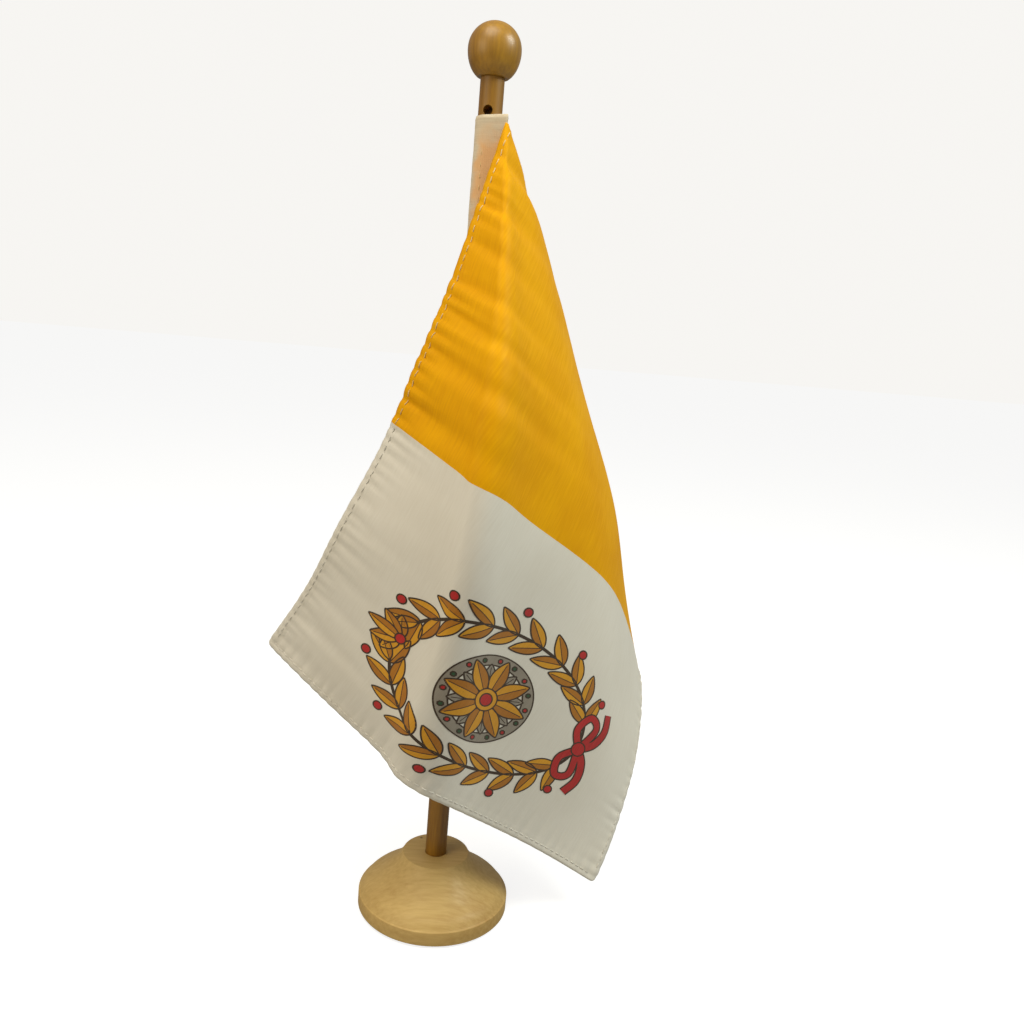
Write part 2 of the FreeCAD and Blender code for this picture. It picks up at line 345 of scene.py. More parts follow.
@dataclass(frozen=True)
class WoodFinish:
    """Lacquered wood."""

    name: str
    pale: Colour
    deep: Colour
    grain: Grain
    roughness: float
    lacquer: float
    fibres: float = 900.0
    bands: float = 14.0
    clouds: float = 45.0
    coat_roughness: float = 0.14
    speck: float = 0.0

    def material(self, grain_group: NodeTree) -> Material:
        """Make the material.

        Args:
            grain_group: the shared grain.

        Returns:
            The wood, with its lacquer as a clear coat.
        """
        material, tree, shader = new_material(self.name)
        place = tree.add("TexCoord").outputs["Object"]
        along = tree.add("VectorMath", {0: place, 1: self.grain.value}, operation="MULTIPLY").outputs[0]
        grain = tree.group(grain_group, {"Place": along, "Fibres": self.fibres, "Bands": self.bands,
                                         "Clouds": self.clouds})
        colour = tree.blend(grain.outputs["Shade"], (*self.pale, 1.0), (*self.deep, 1.0))
        if self.speck > 0.0:
            knot = tree.add("VectorMath", {0: place, 1: KNOT_PLACE}, operation="DISTANCE").outputs["Value"]
            mark = tree.span(knot, 0.4 * KNOT_RADIUS, KNOT_RADIUS, self.speck, 0.0)
            colour = tree.blend(mark, colour, KNOT_COLOUR)
        height = tree.add("Bump", {"Height": grain.outputs["Height"], "Strength": 0.10,
                                   "Distance": PORE_DEPTH})
        gloss = tree.span(grain.outputs["Height"], 0.3, 0.7, self.roughness - 0.05, self.roughness + 0.07)
        tree.link(colour, shader.inputs["Base Color"])
        tree.link(height.outputs[0], shader.inputs["Normal"])
        tree.link(gloss, shader.inputs["Roughness"])
        shader.inputs["Coat Weight"].default_value = self.lacquer
        shader.inputs["Coat Roughness"].default_value = self.coat_roughness
        return material


@dataclass(frozen=True)
class ClothFinish:
    """Woven cloth, thread or print on cloth."""

    name: str
    colour: Colour
    shaded: Colour
    roughness: float
    sheen: float
    threads: float
    relief: float
    specular: float = 0.35
    clouds: float = 30.0

    def material(self, weave_group: NodeTree) -> Material:
        """Make the material.

        Args:
            weave_group: the shared weave.

        Returns:
            The cloth, with a soft sheen along its folds.
        """
        material, tree, shader = new_material(self.name)
        coordinates = tree.add("TexCoord")
        weave = tree.group(weave_group, {"Place": coordinates.outputs["UV"], "Threads": self.threads})
        cloud = tree.add("TexNoise", {"Vector": coordinates.outputs["Object"], "Scale": self.clouds,
                                      "Detail": 2.0})
        uneven = tree.maths("ADD", tree.maths("MULTIPLY", weave.outputs["Slub"], 0.5),
                            tree.maths("MULTIPLY", cloud.outputs[0], 0.5))
        share = tree.span(uneven, 0.38, 0.62, 0.0, 1.0)
        colour = self.tinted(tree, coordinates.outputs["UV"],
                             tree.blend(share, (*self.colour, 1.0), (*self.shaded, 1.0)))
        bump = tree.add("Bump", {"Height": weave.outputs["Height"], "Strength": self.relief,
                                 "Distance": WEAVE_HEIGHT})
        tree.link(colour, shader.inputs["Base Color"])
        tree.link(bump.outputs[0], shader.inputs["Normal"])
        gloss = tree.span(weave.outputs["Slub"], 0.3, 0.7, self.roughness - 0.04, self.roughness + 0.05)
        tree.link(gloss, shader.inputs["Roughness"])
        shader.inputs["Specular IOR Level"].default_value = self.specular
        shader.inputs["Sheen Weight"].default_value = self.sheen
        shader.inputs["Sheen Roughness"].default_value = 0.45
        return material

    def tinted(self, tree: Tree, place: Socket, colour: Socket) -> Socket:
        """Colour with whatever shows through the cloth, which is nothing on most of it."""
        return colour


@dataclass(frozen=True)
class TapeFinish(ClothFinish):
    """Thin tape, through which the gold cloth's edge shows peach on one side of its stitches."""

    peach: Colour = (0.78, 0.43, 0.17)
    start: float = 17.5 * MM
    full: float = 21.5 * MM
    end: float = 31.5 * MM
    top: float = 356.6 * MM
    strength: float = 0.85
    wander: float = 2.2 * MM
    fade: float = 9.0 * MM

    def tinted(self, tree: Tree, place: Socket, colour: Socket) -> Socket:
        """Colour of the tape with the gold showing through it.

        Args:
            tree: the material's tree.
            place: distance round the sleeve and height up it.
            colour: the bare tape.

        Returns:
            The tape's colour.
        """
        parts = tree.add("SeparateXYZ", {0: place})
        uneven = tree.add("TexNoise", {"Vector": place, "Scale": 130.0, "Detail": 2.0}).outputs[0]
        drift = tree.span(uneven, 0.3, 0.7, -self.wander, self.wander)
        across = tree.maths("ADD", parts.outputs[0], drift)
        rising = tree.span(across, self.start, self.full, 0.0, self.strength)
        falling = tree.span(parts.outputs[0], self.end, self.end + 1.0 * MM, 1.0, 0.0)
        height = tree.maths("ADD", parts.outputs[1], tree.maths("MULTIPLY", drift, 1.4))
        under_fold = tree.span(height, self.top - self.fade, self.top, 1.0, 0.0)
        mask = tree.maths("MULTIPLY", tree.maths("MULTIPLY", rising, falling), under_fold)
        return tree.blend(mask, colour, (*self.peach, 1.0))


def new_material(name: str) -> tuple[Material, Tree, bpy.types.Node]:
    """Start a material, and return it with its tree and its Principled shader."""
    material = bpy.data.materials.new(name)
    material.use_nodes = True
    return material, Tree(material.node_tree), material.node_tree.nodes["Principled BSDF"]


FOOT_WOOD = WoodFinish("foot_maple", (0.66, 0.46, 0.16), (0.38, 0.21, 0.045), Grain.ACROSS,
                       roughness=0.56, lacquer=0.03, fibres=700.0, bands=9.0, clouds=30.0, speck=0.75)
POLE_WOOD = WoodFinish("pole_golden_lacquer", (0.37, 0.175, 0.006), (0.15, 0.060, 0.001), Grain.UP,
                       roughness=0.46, lacquer=0.08, fibres=1500.0, bands=30.0)
BALL_WOOD = WoodFinish("ball_golden_lacquer", (0.44, 0.225, 0.016), (0.15, 0.060, 0.001), Grain.UP,
                       roughness=0.36, lacquer=0.12, fibres=800.0, bands=10.0, coat_roughness=0.30)
FELT = ClothFinish("foot_felt", (0.055, 0.080, 0.045), (0.030, 0.044, 0.024), 0.95, 0.4, 500.0, 0.6,
                   specular=0.1, clouds=900.0)
TAPE = TapeFinish("sleeve_tape", (0.69, 0.59, 0.42), (0.60, 0.49, 0.33), 0.82, 0.15, 420.0, 0.5)
GOLD = ClothFinish("gold_satin", (0.79, 0.385, 0.001), (0.70, 0.315, 0.001), 0.52, 0.0, 900.0, 0.25, 0.08)
WHITE = ClothFinish("white_satin", (0.74, 0.70, 0.60), (0.70, 0.655, 0.55), 0.50, 0.06, 900.0, 0.25, 0.26)
PALE_THREAD = ClothFinish("pale_thread", (0.90, 0.66, 0.30), (0.78, 0.52, 0.18), 0.6, 0.3, 1500.0, 0.5)
WHITE_THREAD = ClothFinish("white_thread", (0.80, 0.77, 0.68), (0.68, 0.64, 0.54), 0.6, 0.3, 1500.0, 0.5)


class Ink(Enum):
    """Inks of the printed emblem, numbered as the material slots of its piece."""

    DARK = 0
    GOLD = 1
    AMBER = 2
    GREY = 3
    RED = 4
    GREEN = 5


INKS = {
    Ink.DARK: ClothFinish("ink_dark", (0.050, 0.028, 0.012), (0.040, 0.022, 0.010), 0.6, 0.10, 900.0, 0.25),
    Ink.GOLD: ClothFinish("ink_gold", (0.66, 0.31, 0.010), (0.58, 0.26, 0.008), 0.55, 0.10, 900.0, 0.25),
    Ink.AMBER: ClothFinish("ink_amber", (0.42, 0.16, 0.006), (0.36, 0.13, 0.005), 0.55, 0.10, 900.0, 0.25),
    Ink.GREY: ClothFinish("ink_grey", (0.30, 0.26, 0.20), (0.25, 0.215, 0.165), 0.55, 0.10, 900.0, 0.25),
    Ink.RED: ClothFinish("ink_red", (0.48, 0.016, 0.014), (0.36, 0.012, 0.010), 0.55, 0.10, 900.0, 0.25),
    Ink.GREEN: ClothFinish("ink_green", (0.030, 0.085, 0.030), (0.022, 0.065, 0.024), 0.6, 0.10, 900.0, 0.25),
}


# ---- wooden pieces -------------------------------------------------------------------------------
@dataclass
class TurnedFoot:
    """Foot turned from pale wood, on a felt pad."""

    edge: float = 0.5 * MM
    disc_radius: float = 15.7 * MM
    rim_height: float = 8.1 * MM
    bore_radius: float = 5.05 * MM
    bore_depth: float = 19.0 * MM
    felt_edge: float = 0.4 * MM

    def profile(self) -> list[Point]:
        """Outline of the foot, from the middle of its underside to the bore's floor."""
        low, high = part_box("base_body")
        radius, bottom, top = high[0], low[2], high[2]
        small = 0.6 * self.edge
        quarter = [math.radians(a) for a in (0.0, 22.5, 45.0, 67.5, 90.0)]
        rounding = [(math.cos(a), math.sin(a)) for a in quarter]
        underside = [(0.0, bottom), (radius - 2.0 * self.edge, bottom)]
        foot_edge = [(radius - self.edge + self.edge * s, bottom + self.edge - self.edge * c)
                     for c, s in rounding]
        rim_edge = [(radius - self.edge + self.edge * c, self.rim_height - self.edge + self.edge * s)
                    for c, s in rounding]
        shoulder = curve_through(
            [(radius - self.edge, self.rim_height), (radius - 3.4 * MM, self.rim_height + 3.6 * MM),
             (radius - 8.6 * MM, self.rim_height + 7.2 * MM), (self.disc_radius + 5.8 * MM, top - 7.5 * MM),
             (self.disc_radius + 1.9 * MM, top - 3.3 * MM), (self.disc_radius, top - small)], 12)
        disc_edge = [(self.disc_radius - small + small * c, top - small + small * s) for c, s in rounding]
        bore_edge = [(self.bore_radius + small * (1.0 - s), top - small * (1.0 - c)) for c, s in rounding]
        floor = top - self.bore_depth
        inner = [(self.bore_radius, floor), (0.0, floor)]
        steps = [(float(r), float(z)) for r, z in shoulder]
        return underside + foot_edge + rim_edge + steps[1:] + disc_edge[1:] + bore_edge + inner

    def build(self, wood: Material, felt: Material) -> None:
        """Make the foot and its felt."""
        foot = turned_piece("turned_foot", self.profile(), wood)
        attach(foot, "base")
        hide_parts("base_body")
        low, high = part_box("felt_pad")
        radius, top = high[0], high[2]
        soft = self.felt_edge
        outline = [(0.0, low[2]), (radius - soft, low[2]), (radius, soft), (radius, top - soft),
                   (radius - soft, top), (0.0, top)]
        pad = turned_piece("felt_disc", outline, felt)
        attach(pad, "base")
        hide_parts("felt_pad")
        LOG.info("foot and felt made")


def dress_node(node: str, material: Material) -> None:
    """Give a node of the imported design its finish, and leave its shape as it is."""
    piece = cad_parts[node]
    piece.data.materials.clear()
    piece.data.materials.append(material)
    LOG.info("%s dressed", node)


# ---- the hanging cloth ---------------------------------------------------------------------------
@dataclass
class ClothShape:
    """How the square flag hangs: every thread goes out from the hoist's top corner.

    The fold is the line that the cloth would draw on a floor one unit below that corner, and the bow is
    how far the threads swing out of straight lines half way down.
    """

    side: float = 254.0 * MM
    seam: tuple[float, float, float] = (6.8 * MM, -6.8 * MM, 358.5 * MM)
    fold: tuple[Point, ...] = ((0.0, 0.0), (0.22, 0.255), (0.37, 0.28), (0.275, 0.04), (0.07, -0.12),
                               (-0.015, -0.20), (-0.08, -0.20), (-0.145, -0.12), (-0.39, 0.085))
    bow: tuple[float, float, float] = (9.5 * MM, -42.0 * MM, -4.5 * MM)
    bow_span: float = 256.0 * MM
    bow_turn: float = 1.5
    bow_start: float = 40.0
    front_start: float = 25.0
    front_end: float = 75.0
    angles: np.ndarray = field(init=False)
    ways: np.ndarray = field(init=False)

    def __post_init__(self) -> None:
        """Work out the threads' directions, evenly spread round the quarter turn of the flag's corner."""
        plan = curve_through(list(self.fold), 24)
        ways = np.column_stack([plan, -np.ones(len(plan))])
        self.ways = ways / np.linalg.norm(ways, axis=1)[:, None]
        turns = np.arccos(np.clip((self.ways[1:] * self.ways[:-1]).sum(1), -1.0, 1.0))
        run = np.concatenate([[0.0], np.cumsum(turns)])
        self.angles = run * (math.pi / 2.0) / run[-1]

    def points(self, out: np.ndarray, down: np.ndarray) -> np.ndarray:
        """Places of points of the cloth.

        Args:
            out: distances from the hoist along the cloth.
            down: distances from the top edge along the cloth.

        Returns:
            The places, with X, Y and Z on the last axis.
        """
        reach = np.hypot(out, down)
        angle = np.arctan2(out, down)
        way = np.stack([np.interp(angle, self.angles, self.ways[:, axis]) for axis in range(3)], -1)
        way /= np.linalg.norm(way, axis=-1)[..., None]
        swing = np.sin(math.pi * np.minimum(reach / self.bow_span, self.bow_turn))
        side = smooth(angle / math.radians(self.bow_start)) * swing
        front = smooth((np.degrees(angle) - self.front_start) / (self.front_end - self.front_start)) * swing
        push = np.stack([self.bow[0] * side, self.bow[1] * front, self.bow[2] * side], -1)
        return np.array(self.seam) + way * reach[..., None] + push


@dataclass(frozen=True)
class Puckers:
    """A run of puckers beside a hem: their spacing, height and reach, and which irregular values they use."""

    wave: float
    depth: float
    reach: float
    lane: float


TOP_PUCKERS = Puckers(wave=5.6 * MM, depth=0.50 * MM, reach=10.0 * MM, lane=1.0)
GATHERS = Puckers(wave=17.0 * MM, depth=1.75 * MM, reach=40.0 * MM, lane=2.0)
FLY_PUCKERS = Puckers(wave=7.5 * MM, depth=0.32 * MM, reach=8.0 * MM, lane=3.0)
BOTTOM_PUCKERS = Puckers(wave=6.5 * MM, depth=0.32 * MM, reach=8.0 * MM, lane=4.0)


@dataclass
class HangingFlag:
    """The satin flag, in two printed colours, with turned-in hems that pucker the cloth."""

    shape: ClothShape
    out_step: float = 1.1 * MM
    down_step: float = 1.3 * MM
    hem: float = 4.0 * MM
    thin: float = 0.24 * MM
    thick: float = 0.80 * MM
    corner_pull: float = 1.1 * MM
    groove: float = 0.28 * MM
    groove_width: float = 0.5 * MM
    slow_folds: float = 2.8 * MM
    gather_start: float = 16.0 * MM
    corner_rest: float = 30.0 * MM
    seam_rest: float = 18.0 * MM
    hem_fade: float = 0.9 * MM
    lip: float = 1.2 * MM
    outs: np.ndarray = field(init=False)
    downs: np.ndarray = field(init=False)
    middle: np.ndarray = field(init=False)
    normal: np.ndarray = field(init=False)
    depths: np.ndarray = field(init=False)

    def __post_init__(self) -> None:
        """Lay out the net of the cloth, and hang it."""
        side = self.shape.side
        half_count = round(side / 2.0 / self.out_step)
        self.outs = np.linspace(0.0, side, 2 * half_count + 1)
        self.downs = np.linspace(0.0, side, round(side / self.down_step) + 1)
        out, down = np.meshgrid(self.outs, self.downs, indexing="ij")
        from_corner = (side - out) + np.minimum(down, side - down)
        pull = self.corner_pull * np.clip(1.0 - from_corner / (4.0 * self.corner_pull), 0.0, 1.0) ** 2
        toward_middle = np.where(down < side / 2.0, 1.0, -1.0)
        base = self.shape.points(out - pull, down + pull * toward_middle)
        self.normal = self.normals_of(base)
        self.middle = base + self.normal * self.relief(out, down)[..., None]
        self.normal = self.normals_of(self.middle)
        self.depths = self.thickness()

    @staticmethod
    def normals_of(net: np.ndarray) -> np.ndarray:
        """Unit normals over a net of points, towards the face that shows in front."""
        across = np.gradient(net, axis=0)
        along = np.gradient(net, axis=1)
        normal = np.cross(across, along)
        length = np.linalg.norm(normal, axis=-1)[..., None]
        return normal / np.maximum(length, 1e-12)

    def hem_puckers(self, along: np.ndarray, away: np.ndarray, puckers: Puckers) -> np.ndarray:
        """Small puckers that a hem's stitches draw into the cloth.

        Args:
            along: distance along the hem.
            away: distance from the edge.
            puckers: their size and spacing.

        Returns:
            Height of the puckers at each point.
        """
        across_rows = np.ptp(along[0]) == 0.0
        line = along[:, 0] if across_rows else along[0]

        def uneven(waves: float, lane: float) -> np.ndarray:
            """Irregular values along the hem, each spanning so many puckers."""
            values = ripples(line / (waves * puckers.wave), puckers.lane + lane)
            return values[:, None] if across_rows else values[None, :]

        drift = uneven(3.1, 0.0)
        size = 0.65 + 0.45 * uneven(2.3, 5.0)
        reach = puckers.reach * (1.0 + 0.5 * uneven(1.7, 9.0))
        phase = TURN * (along / puckers.wave + 0.45 * drift)
        inside = np.clip((away - self.hem) / reach, 0.0, None)
        fade = np.exp(-inside ** 1.4) * np.clip(0.55 + 0.45 * away / self.hem, 0.0, 1.0)
        return puckers.depth * size * fade * (np.sin(phase) + 0.3 * np.sin(2.0 * phase + 1.0))

    def relief(self, out: np.ndarray, down: np.ndarray) -> np.ndarray:
        """Height of the folds, puckers and hem grooves above the plain hanging shape."""
        side = self.shape.side
        gold = 1.0 - smooth((out - 0.44 * side) / (0.12 * side))
        top = self.hem_puckers(out, down, TOP_PUCKERS) * (0.50 + 0.75 * gold)
        gathers = self.hem_puckers(out, down, GATHERS) * (0.22 + 0.78 * gold)
        fly = self.hem_puckers(down, side - out, FLY_PUCKERS)
        bottom = self.hem_puckers(out, side - down, BOTTOM_PUCKERS)
        gathers = gathers * (0.30 + 0.70 * smooth(down / self.gather_start))
        height = top + gathers + fly + bottom
        for edge in (down, side - down, side - out):
            height = height - self.groove * np.exp(-((edge - 0.8 * self.hem) / self.groove_width) ** 2)
        slow = np.array([[noise.noise(Vector((u * 19.0, v * 13.0, 2.3))) for v in self.downs]
                         for u in self.outs])
        height = height + self.slow_folds * slow
        reach = np.hypot(out, down)
        return height * smooth(reach / self.corner_rest) * smooth(out / self.seam_rest)

    def thickness(self) -> np.ndarray:
        """Thickness over the net: double at the hems, rounded off at the very edge."""
        side = self.shape.side
        out, down = np.meshgrid(self.outs, self.downs, indexing="ij")
        edge = np.minimum(np.minimum(down, side - down), side - out)
        inside = smooth((edge - self.hem) / self.hem_fade)
        lip = 0.45 + 0.55 * smooth(edge / self.lip)
        return (self.thick * (1.0 - inside) + self.thin * inside) * lip

    def sample(self, out: float, down: float) -> tuple[np.ndarray, np.ndarray, float]:
        """Place, normal and thickness of the made cloth at a point of the flag."""
        i = min(max(out / self.shape.side * (len(self.outs) - 1), 0.0), len(self.outs) - 1.001)
        j = min(max(down / self.shape.side * (len(self.downs) - 1), 0.0), len(self.downs) - 1.001)
        a, b = int(i), int(j)
        s, t = i - a, j - b
        shares = ((a, b, (1 - s) * (1 - t)), (a + 1, b, s * (1 - t)),
                  (a, b + 1, (1 - s) * t), (a + 1, b + 1, s * t))
        place = sum(self.middle[m, n] * share for m, n, share in shares)
        normal = sum(self.normal[m, n] * share for m, n, share in shares)
        depth = sum(self.depths[m, n] * share for m, n, share in shares)
        return place, normal / np.linalg.norm(normal), float(depth)

    def build(self, gold: Material, white: Material) -> Piece:
        """Make the flag's cloth as a thin closed sheet.

        Args:
            gold: satin next to the hoist.
            white: satin at the fly.

        Returns:
            The cloth.
        """
        draft = MeshDraft()
        nets = []
        for face in (0.5, -0.5):
            points = self.middle + self.normal * (self.depths * face)[..., None]
            nets.append([[draft.add_point(points[i, j], (float(u), float(v)))
                          for j, v in enumerate(self.downs)] for i, u in enumerate(self.outs)])
        front, back = nets
        half = (len(self.outs) - 1) // 2
        draft.add_net(front[:half + 1], closed=False, slot=0)
        draft.add_net(front[half:], closed=False, slot=1)
        turned_back = [row[::-1] for row in back]
        draft.add_net(turned_back[:half + 1], closed=False, slot=0)
        draft.add_net(turned_back[half:], closed=False, slot=1)
        last = len(self.outs) - 1
        for i in range(last):
            slot = 0 if i < half else 1
            draft.add_face((front[i + 1][0], front[i][0], back[i][0], back[i + 1][0]), slot)
            draft.add_face((front[i][-1], front[i + 1][-1], back[i + 1][-1], back[i][-1]), slot)
        for j in range(len(self.downs) - 1):
            draft.add_face((front[0][j], front[0][j + 1], back[0][j + 1], back[0][j]), 0)
            draft.add_face((front[last][j + 1], front[last][j], back[last][j], back[last][j + 1]), 1)
        cloth = draft.build("flag_cloth", [gold, white])
        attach(cloth, "flag")
        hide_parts("flag_gold_half", "flag_white_half", "top_hem_gold", "top_hem_white",
                    "bottom_hem_gold", "bottom_hem_white", "fly_hem")
        LOG.info("flag cloth made with %d faces", len(draft.faces))
        return cloth


def arc(centre: Point, radius: float, start: float, end: float, count: int) -> np.ndarray:
    """Points along an arc, with its angles in degrees from the right."""
    angles = np.radians(np.linspace(start, end, count))
    return np.column_stack([centre[0] + radius * np.cos(angles), centre[1] + radius * np.sin(angles)])


@dataclass
class PrintedEmblem:
    """Emblem printed through the white half: a rosette in a ring, between two leafy sprays tied with a bow.

    It is drawn on its own plane, X towards the hoist and Y towards the top edge, and printed longer than
    it is wide.
    """

    flag: HangingFlag
    centre: Point = (200.5 * MM, 124.0 * MM)
    stretch: Point = (1.16, 1.66)
    pen: float = 0.55 * MM
    step: float = 1.1 * MM
    lift: float = 0.07 * MM
    layer_lift: float = 0.012 * MM
    spray_radius: Point = (28.0 * MM, 40.0 * MM)
    spray_pairs: int = 10
    leaf_size: Point = (12.5 * MM, 5.0 * MM)
    tip_leaf_size: Point = (10.0 * MM, 4.4 * MM)
    berry: float = 1.7 * MM
    berry_reach: float = 9.0 * MM
    ring_radii: Point = (18.0 * MM, 14.0 * MM)
    bead: float = 0.9 * MM
    beads: int = 16
    petals: int = 8
    petal_root: float = 3.0 * MM
    heart_radii: Point = (4.6 * MM, 2.6 * MM)
    draft: MeshDraft = field(default_factory=MeshDraft)

    def resampled(self, line: np.ndarray) -> np.ndarray:
        """The same line with short even steps, so that it follows the cloth."""
        lengths = np.linalg.norm(np.diff(line, axis=0) * self.stretch, axis=1)
        run = np.concatenate([[0.0], np.cumsum(lengths)])
        places = np.linspace(0.0, run[-1], max(2, math.ceil(run[-1] / self.step) + 1))
        return np.column_stack([np.interp(places, run, line[:, 0]), np.interp(places, run, line[:, 1])])

    def patch(self, left: np.ndarray, right: np.ndarray, ink: Ink, layer: int) -> None:
        """Print the area between two lines that have the same number of points.

        Args:
            left: one side's points.
            right: the other side's points.
            ink: what it is printed in.
            layer: how many inks lie under it.
        """
        outline = np.vstack([left, right[::-1]])
        after = np.roll(outline, -1, axis=0)
        if np.sum(outline[:, 0] * after[:, 1] - after[:, 0] * outline[:, 1]) < 0.0:
            left, right = right, left
        widest = float(np.max(np.linalg.norm((left - right) * self.stretch, axis=1)))
        rows_across = max(1, math.ceil(widest / self.step))
        for face in (1.0, -1.0):
            rows = []
            for share in np.linspace(0.0, 1.0, rows_across + 1):
                rows.append([self.point(spot, face, layer) for spot in left * (1.0 - share) + right * share])
            if face < 0.0:
                rows = rows[::-1]
            self.draft.add_net(rows, closed=False, slot=ink.value)

    def point(self, spot: np.ndarray, face: float, layer: int) -> int:
        """Add a point of the print on one face of the cloth, and return its number."""
        out = self.centre[0] - spot[0] * self.stretch[0]
        down = self.centre[1] - spot[1] * self.stretch[1]
        place, normal, depth = self.flag.sample(out, down)
        above = depth / 2.0 + self.lift + layer * self.layer_lift
        return self.draft.add_point(place + normal * face * above, (out, down))

    def stroke(self, line: np.ndarray, width: float, ink: Ink, layer: int) -> None:
        """Print a line of one width."""
        line = self.resampled(line)
        ahead = np.gradient(line, axis=0)
        if np.allclose(line[0], line[-1]):
            ahead[0] = ahead[-1] = line[1] - line[-2]
        ahead /= np.linalg.norm(ahead, axis=1)[:, None]
        side = np.column_stack([-ahead[:, 1], ahead[:, 0]]) * width / 2.0
        self.patch(line + side, line - side, ink, layer)

    def leaf(self, root: Point, angle: float, length: float, width: float, inks: tuple[Ink, Ink],
             layer: int) -> None:
        """Print a leaf or petal in two tones, with its outline and midrib.

        Args:
            root: where it grows from.
            angle: the way it points, in radians from the right.
            length: from root to tip.
            width: at its widest.
            inks: the tones of its two halves.
            layer: how many inks lie under it.
        """
        ahead = np.array([math.cos(angle), math.sin(angle)])
        side = np.array([-ahead[1], ahead[0]])
        shares = np.linspace(0.0, 1.0, max(5, math.ceil(length * max(self.stretch) / self.step)))
        half = width / 2.0 * np.sin(math.pi * shares ** 0.85) ** 0.8
        rib = np.array(root) + ahead * (length * shares)[:, None]
        edges = [rib + side * half[:, None], rib - side * half[:, None]]
        for edge, ink in zip(edges, inks):
            self.patch(rib, edge, ink, layer)
        for edge in edges:
            self.stroke(edge, self.pen, Ink.DARK, layer + 1)
        self.stroke(rib[:-2], 0.6 * self.pen, Ink.DARK, layer + 1)

    def disc(self, centre: Point, radius: float, ink: Ink, layer: int) -> None:
        """Print a disc with a dark outline."""
        count = max(7, 2 * math.ceil(radius * max(self.stretch) / self.step) + 1)
        self.patch(arc(centre, radius, 180.0, 0.0, count), arc(centre, radius, 180.0, 360.0, count),
                   ink, layer)
        self.stroke(arc(centre, radius, 0.0, 360.0, 33), self.pen, Ink.DARK, layer + 1)

    def ring(self, centre: Point, outer: float, inner: float, ink: Ink, layer: int) -> None:
        """Print a ring with a dark line along both edges."""
        self.stroke(arc(centre, (outer + inner) / 2.0, 0.0, 360.0, 73), outer - inner, ink, layer)
        for radius in (outer, inner):
            self.stroke(arc(centre, radius, 0.0, 360.0, 73), self.pen, Ink.DARK, layer + 1)

    def spray(self, hand: float) -> None:
        """Print one leafy spray with its berries, on the right for a hand of 1 and on the left for -1."""
        across, up = self.spray_radius

        def at(turn: float) -> np.ndarray:
            """Point of the spray's stem at an angle."""
            return np.array([hand * across * math.cos(turn), up * math.sin(turn)])

        turns = np.linspace(math.radians(-84.0), math.radians(70.0), 60)
        self.stroke(np.array([at(turn) for turn in turns]), 2.2 * self.pen, Ink.DARK, 0)
        for i in range(self.spray_pairs):
            turn = math.radians(-68.0 + 136.0 * i / (self.spray_pairs - 1))
            root, ahead = at(turn), at(turn + 0.02) - at(turn)
            heading = math.atan2(ahead[1], ahead[0])
            for lean in (0.60, -0.60):
                tones = (Ink.GOLD, Ink.AMBER) if i % 2 else (Ink.AMBER, Ink.GOLD)
                self.leaf(tuple(root), heading + lean, *self.leaf_size, tones, 1)
            if i % 2:
                outward = root * (1.0 + self.berry_reach / np.linalg.norm(root))
                self.disc(tuple(outward), self.berry, Ink.RED, 3)
        self.leaf(tuple(at(turns[-1])), math.radians(90.0 + 42.0 * hand), *self.tip_leaf_size,
                  (Ink.GOLD, Ink.AMBER), 3)

    def rosette(self, middle: Point) -> None:
        """Print the ring with its beads, and the petals that stand over it in two rows."""
        outer, inner = self.ring_radii
        self.ring(middle, outer, inner, Ink.GREY, 1)
        for i in range(self.beads):
            spot = self.spoke(middle, TURN * (i + 0.5) / self.beads, (outer + inner) / 2.0)
            self.disc(spot, self.bead, Ink.GREEN if i % 2 else Ink.RED, 3)
        rows = ((0.5, 11.5 * MM, 5.2 * MM, (Ink.GREY, Ink.GREY), 3),
                (0.0, 14.0 * MM, 6.4 * MM, (Ink.GOLD, Ink.AMBER), 5))
        for first, reach, wide, tones, layer in rows:
            for i in range(self.petals):
                turn = TURN * (i + first) / self.petals
                self.leaf(self.spoke(middle, turn, self.petal_root), turn, reach, wide, tones, layer)
        self.disc(middle, self.heart_radii[0], Ink.GOLD, 7)
        self.disc(middle, self.heart_radii[1], Ink.RED, 9)

    @staticmethod
    def spoke(middle: Point, turn: float, reach: float) -> Point:
        """Point at an angle and a distance from a middle."""
        return middle[0] + reach * math.cos(turn), middle[1] + reach * math.sin(turn)

    def palmette(self, root: Point) -> None:
        """Print the fan of five petals at the top."""
        for fan in (-2, 2, -1, 1, 0):
            angle = math.radians(90.0 - 32.0 * fan)
            reach = (13.0 - 2.0 * abs(fan)) * MM
            self.leaf(root, angle, reach, 4.6 * MM, (Ink.GOLD, Ink.AMBER), 3 + 2 * (2 - abs(fan)))
        self.disc(root, 1.9 * MM, Ink.RED, 9)

    def bow(self, knot: Point) -> None:
        """Print the ribbon bow at the bottom, two loops and two tails."""
        for hand in (1.0, -1.0):
            loop = curve_through([
                knot, (knot[0] + hand * 7.0 * MM, knot[1] + 5.0 * MM),
                (knot[0] + hand * 14.0 * MM, knot[1] + 2.5 * MM),
                (knot[0] + hand * 11.0 * MM, knot[1] - 2.5 * MM), knot], 12)
            tail = curve_through([
                knot, (knot[0] + hand * 5.0 * MM, knot[1] - 5.0 * MM),
                (knot[0] + hand * 12.0 * MM, knot[1] - 7.0 * MM),
                (knot[0] + hand * 19.0 * MM, knot[1] - 5.0 * MM)], 12)
            for line, wide in ((tail, 3.0 * MM), (loop, 2.6 * MM)):
                self.stroke(line, wide + 2.0 * self.pen, Ink.DARK, 3)
                self.stroke(line, wide, Ink.RED, 4)
        self.disc(knot, 3.0 * MM, Ink.RED, 6)

